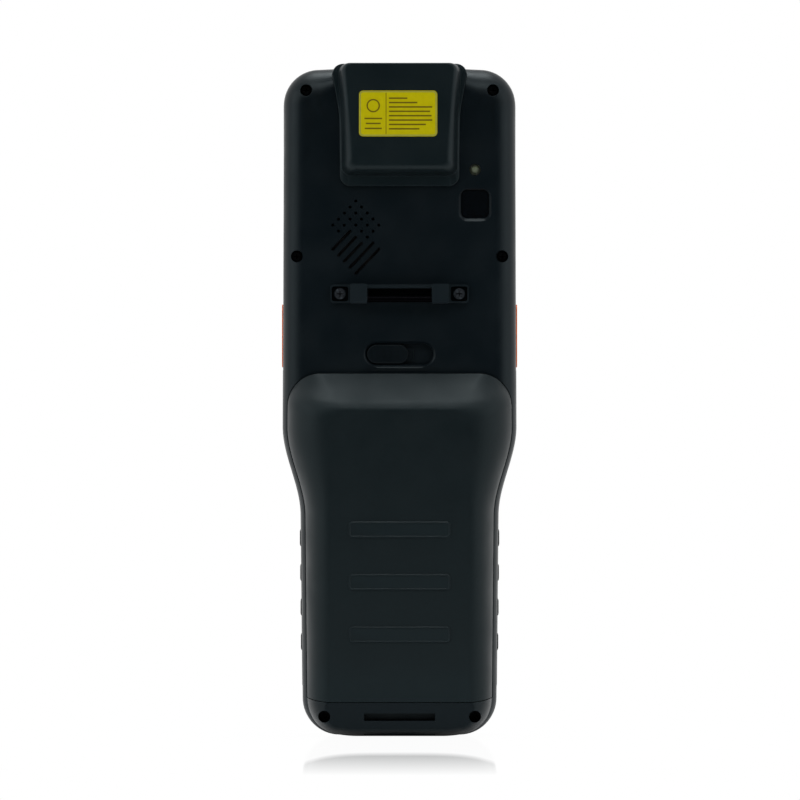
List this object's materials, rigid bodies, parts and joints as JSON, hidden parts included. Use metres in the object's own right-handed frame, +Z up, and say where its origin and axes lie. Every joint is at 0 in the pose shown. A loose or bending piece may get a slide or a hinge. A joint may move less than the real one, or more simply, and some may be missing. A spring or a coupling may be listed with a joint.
{
  "type": "portable barcode data terminal",
  "caption": "Handheld rugged data terminal with a waisted casing, a top scan housing, camera, strap bracket and a hinged battery cover over the grip.",
  "frame": {"origin": "centre of the bounding box's footprint, on the flat base of the foot", "axes": "+Z up from the foot to the scan head, -Y out of the back with the battery cover, +Y out of the display and keypad, +X to the right as the back is seen"},
  "size_m": [0.0666, 0.0364, 0.19],
  "materials": {
    "casing_plastic": "fine matt charcoal",
    "cover_plastic": "fine matt charcoal",
    "scan_plastic": "fine matt charcoal",
    "bracket_plastic": "satin charcoal",
    "latch_plastic": "satin black",
    "trim_rubber": "matt black",
    "seal_rubber": "matt grey",
    "flap_rubber": "matt black",
    "mat_rubber": "matt grey",
    "scan_glass": "tinted",
    "camera_glass": "gloss black",
    "display_glass": "gloss black",
    "engine_metal": "bead blasted",
    "label_yellow": "printed film",
    "flash_plastic": "milky",
    "inner_plastic": "moulded",
    "inner_metal": "pressed",
    "mesh_fabric": "woven mesh",
    "pin_steel": "black",
    "screw_steel": "blackened",
    "plate_steel": "pressed",
    "battery_wrap": "film wrapped",
    "contact_brass": "plated",
    "board_green": "solder mask",
    "panel_plastic": "dark panel",
    "key_orange": "satin",
    "key_dark": "satin",
    "key_grey": "satin",
    "key_silver": "satin"
  },
  "bodies": {
    "terminal": {"rear_housing": "casing_plastic", "front_housing": "casing_plastic", "housing_seal": "seal_rubber", "top_bumper": "trim_rubber", "side_grip_left": "trim_rubber", "side_grip_right": "trim_rubber", "scanner_housing": "scan_plastic", "scan_window": "scan_glass", "scan_engine": "engine_metal", "label_plate": "label_yellow", "camera_window": "camera_glass", "camera_module": "inner_plastic", "flash_lens": "flash_plastic", "speaker": "inner_plastic", "speaker_mesh": "mesh_fabric", "strap_bracket": "bracket_plastic", "strap_pin": "pin_steel", "bracket_screws": "screw_steel", "housing_screws": "screw_steel", "cover_gasket": "seal_rubber", "battery_pack": "battery_wrap", "battery_contacts": "contact_brass", "main_board": "board_green", "keypad_board": "board_green", "keypad_mat": "mat_rubber", "display_panel": "panel_plastic", "display_lens": "display_glass", "side_switches": "inner_metal", "usb_socket": "inner_metal", "dock_contacts": "inner_plastic", "status_light": "flash_plastic"},
    "battery_cover": {"battery_cover": "cover_plastic"},
    "battery_latch": {"battery_latch": "latch_plastic", "latch_plate": "plate_steel"},
    "side_key_left": {"side_key_left": "key_orange"},
    "side_key_right": {"side_key_right": "key_orange"},
    "port_flap": {"port_flap": "flap_rubber"},
    "key_scan": {"key_scan": "key_orange"},
    "key_ok": {"key_ok": "key_silver"},
    "key_up": {"key_up": "key_dark"},
    "key_right": {"key_right": "key_dark"},
    "key_down": {"key_down": "key_dark"},
    "key_left": {"key_left": "key_dark"},
    "key_soft_left": {"key_soft_left": "key_dark"},
    "key_soft_right": {"key_soft_right": "key_dark"},
    "key_back": {"key_back": "key_dark"},
    "key_enter": {"key_enter": "key_dark"},
    "key_1": {"key_1": "key_grey"},
    "key_2": {"key_2": "key_grey"},
    "key_3": {"key_3": "key_grey"},
    "key_4": {"key_4": "key_grey"},
    "key_5": {"key_5": "key_grey"},
    "key_6": {"key_6": "key_grey"},
    "key_7": {"key_7": "key_grey"},
    "key_8": {"key_8": "key_grey"},
    "key_9": {"key_9": "key_grey"},
    "key_star": {"key_star": "key_grey"},
    "key_0": {"key_0": "key_grey"},
    "key_hash": {"key_hash": "key_grey"}
  },
  "joints": [
    {"name": "cover_hinge", "type": "hinge", "parent": "terminal", "child": "battery_cover", "pos_m": [0, -0.0148, 0.0101], "axis": [1, 0, 0], "range_deg": [0, 60]},
    {"name": "latch_slide", "type": "slide", "parent": "terminal", "child": "battery_latch", "axis": [1, 0, 0], "range_m": [0, 0.005]},
    {"name": "side_key_left_press", "type": "slide", "parent": "terminal", "child": "side_key_left", "axis": [1, 0, 0], "range_m": [0, 0.0005], "stiffness_N_per_m": 1500},
    {"name": "side_key_right_press", "type": "slide", "parent": "terminal", "child": "side_key_right", "axis": [-1, 0, 0], "range_m": [0, 0.0005], "stiffness_N_per_m": 1500},
    {"name": "port_flap_hinge", "type": "hinge", "parent": "terminal", "child": "port_flap", "pos_m": [-0.03294, 0.0063, 0.152], "axis": [0, 0, -1], "range_deg": [0, 110]},
    {"name": "key_scan_press", "type": "slide", "parent": "terminal", "child": "key_scan", "axis": [0, -1, 0], "range_m": [0, 0.0005], "stiffness_N_per_m": 1500},
    {"name": "key_ok_press", "type": "slide", "parent": "terminal", "child": "key_ok", "axis": [0, -1, 0], "range_m": [0, 0.0005], "stiffness_N_per_m": 1500},
    {"name": "key_up_press", "type": "slide", "parent": "terminal", "child": "key_up", "axis": [0, -1, 0], "range_m": [0, 0.0005], "stiffness_N_per_m": 1500},
    {"name": "key_right_press", "type": "slide", "parent": "terminal", "child": "key_right", "axis": [0, -1, 0], "range_m": [0, 0.0005], "stiffness_N_per_m": 1500},
    {"name": "key_down_press", "type": "slide", "parent": "terminal", "child": "key_down", "axis": [0, -1, 0], "range_m": [0, 0.0005], "stiffness_N_per_m": 1500},
    {"name": "key_left_press", "type": "slide", "parent": "terminal", "child": "key_left", "axis": [0, -1, 0], "range_m": [0, 0.0005], "stiffness_N_per_m": 1500},
    {"name": "key_soft_left_press", "type": "slide", "parent": "terminal", "child": "key_soft_left", "axis": [0, -1, 0], "range_m": [0, 0.0005], "stiffness_N_per_m": 1500},
    {"name": "key_soft_right_press", "type": "slide", "parent": "terminal", "child": "key_soft_right", "axis": [0, -1, 0], "range_m": [0, 0.0005], "stiffness_N_per_m": 1500},
    {"name": "key_back_press", "type": "slide", "parent": "terminal", "child": "key_back", "axis": [0, -1, 0], "range_m": [0, 0.0005], "stiffness_N_per_m": 1500},
    {"name": "key_enter_press", "type": "slide", "parent": "terminal", "child": "key_enter", "axis": [0, -1, 0], "range_m": [0, 0.0005], "stiffness_N_per_m": 1500},
    {"name": "key_1_press", "type": "slide", "parent": "terminal", "child": "key_1", "axis": [0, -1, 0], "range_m": [0, 0.0005], "stiffness_N_per_m": 1500},
    {"name": "key_2_press", "type": "slide", "parent": "terminal", "child": "key_2", "axis": [0, -1, 0], "range_m": [0, 0.0005], "stiffness_N_per_m": 1500},
    {"name": "key_3_press", "type": "slide", "parent": "terminal", "child": "key_3", "axis": [0, -1, 0], "range_m": [0, 0.0005], "stiffness_N_per_m": 1500},
    {"name": "key_4_press", "type": "slide", "parent": "terminal", "child": "key_4", "axis": [0, -1, 0], "range_m": [0, 0.0005], "stiffness_N_per_m": 1500},
    {"name": "key_5_press", "type": "slide", "parent": "terminal", "child": "key_5", "axis": [0, -1, 0], "range_m": [0, 0.0005], "stiffness_N_per_m": 1500},
    {"name": "key_6_press", "type": "slide", "parent": "terminal", "child": "key_6", "axis": [0, -1, 0], "range_m": [0, 0.0005], "stiffness_N_per_m": 1500},
    {"name": "key_7_press", "type": "slide", "parent": "terminal", "child": "key_7", "axis": [0, -1, 0], "range_m": [0, 0.0005], "stiffness_N_per_m": 1500},
    {"name": "key_8_press", "type": "slide", "parent": "terminal", "child": "key_8", "axis": [0, -1, 0], "range_m": [0, 0.0005], "stiffness_N_per_m": 1500},
    {"name": "key_9_press", "type": "slide", "parent": "terminal", "child": "key_9", "axis": [0, -1, 0], "range_m": [0, 0.0005], "stiffness_N_per_m": 1500},
    {"name": "key_star_press", "type": "slide", "parent": "terminal", "child": "key_star", "axis": [0, -1, 0], "range_m": [0, 0.0005], "stiffness_N_per_m": 1500},
    {"name": "key_0_press", "type": "slide", "parent": "terminal", "child": "key_0", "axis": [0, -1, 0], "range_m": [0, 0.0005], "stiffness_N_per_m": 1500},
    {"name": "key_hash_press", "type": "slide", "parent": "terminal", "child": "key_hash", "axis": [0, -1, 0], "range_m": [0, 0.0005], "stiffness_N_per_m": 1500}
  ]
}
